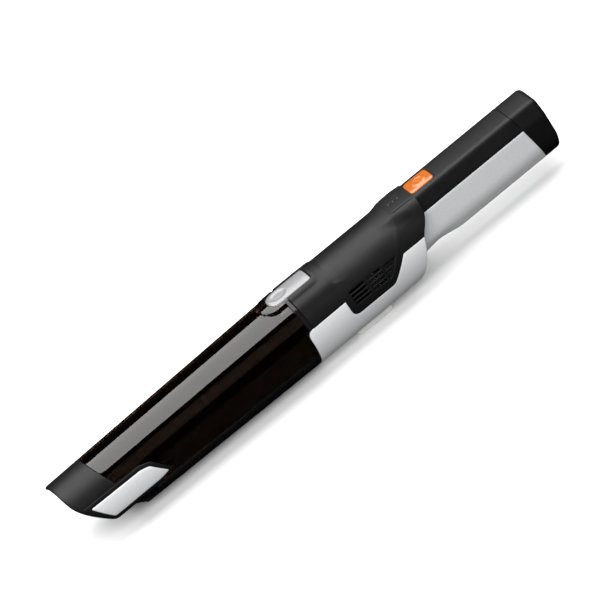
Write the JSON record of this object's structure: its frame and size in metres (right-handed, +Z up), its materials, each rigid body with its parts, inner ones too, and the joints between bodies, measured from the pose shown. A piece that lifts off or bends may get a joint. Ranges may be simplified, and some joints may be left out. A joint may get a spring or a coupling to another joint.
{
  "type": "handheld vacuum",
  "caption": "Slim handheld stick vacuum with a smoked clear dust cup, slanted nozzle, side vents, rocker release latch, thumb power button and a straight battery handle.",
  "frame": {"origin": "centre of the bounding box in plan, on the surface that the foot pad rests on", "axes": "+X along the vacuum from the nozzle towards the handle, +Z up through the latch and the power button, Y across; symmetric about the XZ plane"},
  "size_m": [0.5032, 0.069, 0.0731],
  "materials": {
    "black_satin": "satin",
    "black_gloss": "gloss",
    "smoked_clear": "gloss",
    "silver_satin": "satin",
    "bright_silver": "gloss",
    "orange_gloss": "gloss",
    "pale_foot": "satin",
    "soft_rubber": "matte",
    "steel": "satin",
    "light_metal": "satin",
    "copper_wire": "satin",
    "circuit_board": "satin",
    "cell_wrap": "satin",
    "filter_cloth": "matte",
    "bristle_fibre": "matte",
    "lamp_lens": "gloss"
  },
  "bodies": {
    "housing": {"upper_shell": "black_satin", "lower_shell": "silver_satin", "handle_shell": "silver_satin", "end_cap": "black_satin", "shell_screw_1": "steel", "shell_screw_2": "steel", "shell_screw_3": "steel", "shell_screw_4": "steel", "foot_pad": "pale_foot", "latch_pin": "steel", "latch_spring": "steel", "button_spring": "steel", "tact_switch": "soft_rubber", "charge_lamp_1": "lamp_lens", "charge_lamp_2": "lamp_lens", "charge_lamp_3": "lamp_lens", "control_board": "circuit_board", "driver_board": "circuit_board", "battery_cell_1": "cell_wrap", "battery_cell_2": "cell_wrap", "battery_cell_3": "cell_wrap", "battery_holder": "black_satin", "charge_socket": "black_gloss", "motor_bulkhead": "black_satin", "motor_mount_front": "soft_rubber", "motor_mount_rear": "soft_rubber", "fan_shroud": "light_metal", "motor_can": "light_metal", "stator": "steel", "stator_windings": "copper_wire", "bearing_front": "steel", "bearing_rear": "steel", "motor_end_bell": "light_metal"},
    "cup": {"nozzle": "black_satin", "nozzle_trim_right": "silver_satin", "nozzle_trim_left": "silver_satin", "dust_cup": "smoked_clear", "cup_rim": "black_gloss", "belly_shell": "black_satin", "cup_seal": "soft_rubber", "inlet_duct": "black_satin", "flap_pin": "steel"},
    "brush": {"brush_slider": "black_satin", "brush_bristles": "bristle_fibre"},
    "flap": {"inlet_flap": "soft_rubber"},
    "filter": {"filter_frame": "black_satin", "prefilter_mesh": "black_satin", "hepa_filter": "filter_cloth", "filter_seal": "soft_rubber"},
    "latch": {"release_latch": "bright_silver"},
    "button": {"power_button": "orange_gloss"},
    "rotor": {"impeller": "light_metal", "rotor_magnet": "steel", "motor_shaft": "steel"}
  },
  "joints": [
    {"name": "cup_slide", "type": "slide", "parent": "housing", "child": "cup", "axis": [-1, 0, 0], "range_m": [0, 0.12]},
    {"name": "brush_push", "type": "slide", "parent": "cup", "child": "brush", "axis": [-1, 0, 0], "range_m": [0, 0.018]},
    {"name": "flap_swing", "type": "hinge", "parent": "cup", "child": "flap", "pos_m": [-0.12935, 0, 0.0602], "axis": [0, -1, 0], "range_deg": [0, 28]},
    {"name": "filter_pull", "type": "slide", "parent": "housing", "child": "filter", "axis": [-1, 0, 0], "range_m": [0, 0.014]},
    {"name": "latch_rock", "type": "hinge", "parent": "housing", "child": "latch", "pos_m": [-0.00225, 0, 0.0697], "axis": [0, -1, 0], "range_deg": [0, 6], "stiffness_Nm_per_rad": 0.2, "springref_deg": -11.46},
    {"name": "button_press", "type": "slide", "parent": "housing", "child": "button", "axis": [0, 0, -1], "range_m": [0, 0.0012], "stiffness_N_per_m": 600, "springref_m": -0.002, "deforming": ["button_spring"]},
    {"name": "rotor_spin", "type": "hinge", "parent": "housing", "child": "rotor", "pos_m": [0.02675, 0, 0.0368], "axis": [1, 0, 0], "continuous": true}
  ]
}
